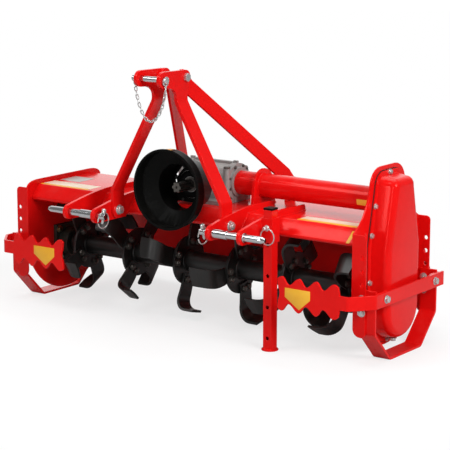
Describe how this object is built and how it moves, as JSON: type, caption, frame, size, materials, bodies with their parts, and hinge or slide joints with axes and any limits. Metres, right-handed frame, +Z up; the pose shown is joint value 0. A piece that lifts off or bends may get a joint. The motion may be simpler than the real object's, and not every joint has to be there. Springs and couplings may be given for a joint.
{
  "type": "three-point-hitch rotary tiller",
  "caption": "Tractor-mounted rotary tiller with a chain-driven tine rotor under a folded deck, hitch mast, skids, side guards, tail flap and parking leg.",
  "frame": {"origin": "centre of the bounding box, on the floor that the skids and parking leg stand on", "axes": "+X towards the chain case, +Y to the rear, away from the tractor, +Z up"},
  "size_m": [1.516, 0.694, 0.863],
  "materials": {
    "red_paint": "gloss enamel",
    "rotor_black": "satin enamel",
    "cast_grey": "cast",
    "cast_green": "painted casting",
    "zinc": "zinc plated",
    "shaft_steel": "machined",
    "shield_plastic": "moulded",
    "gasket": "matt"
  },
  "bodies": {
    "frame": {"deck": "red_paint", "side_plate_left": "red_paint", "side_plate_right": "red_paint", "chain_cover": "red_paint", "cover_gasket": "gasket", "axle_tube": "red_paint", "tube_support": "red_paint", "gearbox": "cast_grey", "shield_bell": "shield_plastic", "shield_neck": "shield_plastic", "shield_base": "shield_plastic", "mast_left": "red_paint", "mast_right": "red_paint", "mast_bolt": "zinc", "brace_left": "red_paint", "brace_right": "red_paint", "brace_lugs": "red_paint", "lug_left_outer": "red_paint", "lug_left_inner": "red_paint", "lug_right_inner": "red_paint", "lug_right_outer": "red_paint", "lower_pin_left": "zinc", "lower_pin_right": "zinc", "top_pin": "zinc", "retainer_chain": "zinc", "leg_socket": "red_paint", "skid_left": "red_paint", "skid_right": "red_paint", "guard_left": "red_paint", "guard_right": "red_paint", "guard_tabs": "red_paint", "bearing_left": "cast_green", "bearing_right": "cast_green", "flap_rod": "zinc"},
    "rotor": {"rotor_shaft": "rotor_black", "tines_left": "rotor_black", "tines_right": "rotor_black"},
    "power_shaft": {"input_shaft": "shaft_steel"},
    "flap": {"tail_flap": "red_paint"},
    "stand": {"parking_leg": "red_paint", "leg_cap": "shield_plastic"}
  },
  "joints": [
    {"name": "rotor_spin", "type": "hinge", "parent": "frame", "child": "rotor", "pos_m": [0, 0.01, 0.186], "axis": [1, 0, 0], "continuous": true},
    {"name": "power_spin", "type": "hinge", "parent": "frame", "child": "power_shaft", "pos_m": [0, -0.1, 0.476], "axis": [0, 1, 0], "continuous": true},
    {"name": "flap_swing", "type": "hinge", "parent": "frame", "child": "flap", "pos_m": [0, 0.25251, 0.31979], "axis": [1, 0, 0], "range_deg": [0, 60]},
    {"name": "leg_slide", "type": "slide", "parent": "frame", "child": "stand", "axis": [0, 0, 1], "range_m": [0, 0.32]}
  ],
  "couplings": [
    {"joint": "power_spin", "follows": "rotor_spin", "ratio": 2.6}
  ]
}
